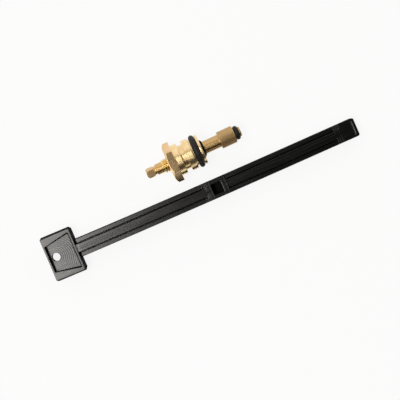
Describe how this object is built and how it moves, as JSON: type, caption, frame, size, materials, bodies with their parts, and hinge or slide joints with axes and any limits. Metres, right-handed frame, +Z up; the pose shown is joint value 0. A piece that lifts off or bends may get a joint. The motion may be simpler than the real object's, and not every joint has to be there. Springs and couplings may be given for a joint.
{
  "type": "boiler filling valve",
  "caption": "Brass filling valve cartridge with hexagon flange, screw spindle and rubber rings, lying beside its long moulded operating key.",
  "frame": {"origin": "on the ground under the middle of the set's box, valve and key together", "axes": "+X along the valve's axis from the drive square to the tip, the way the spindle closes; +Y from the key to the valve; +Z up, with one flat of the hexagon on the ground"},
  "size_m": [0.2042, 0.0502, 0.022],
  "materials": {
    "turned_brass": "turned, with a dull drawn hexagon",
    "spindle_brass": "turned, with a dull drawn nose",
    "washer_brass": "stamped",
    "seal_rubber": "smooth moulded",
    "key_plastic": "satin moulded"
  },
  "bodies": {
    "valve": {"valve_body": "turned_brass", "body_o_ring": "seal_rubber", "stem_o_ring_rear": "seal_rubber", "stem_o_ring_front": "seal_rubber", "gland_spacer": "washer_brass", "gland_seal": "seal_rubber"},
    "tip_seal": {"nose_o_ring": "seal_rubber"},
    "screw": {"spindle": "spindle_brass"},
    "key": {"operating_key": "key_plastic"}
  },
  "joints": [
    {"name": "spindle_slide", "type": "slide", "parent": "valve", "child": "tip_seal", "axis": [1, 0, 0], "range_m": [-0.00976, 0.00151]},
    {"name": "spindle_turn", "type": "hinge", "parent": "tip_seal", "child": "screw", "pos_m": [-0.0108, 0.01205, 0.011], "axis": [1, 0, 0], "range_deg": [-2340, 360]},
    {"name": "key_lift", "type": "slide", "parent": "valve", "child": "key", "axis": [0, 0, 1], "range_m": [0, 0.06]}
  ],
  "couplings": [
    {"joint": "spindle_slide", "follows": "spindle_turn", "m_per_rad": 0.00023873}
  ]
}
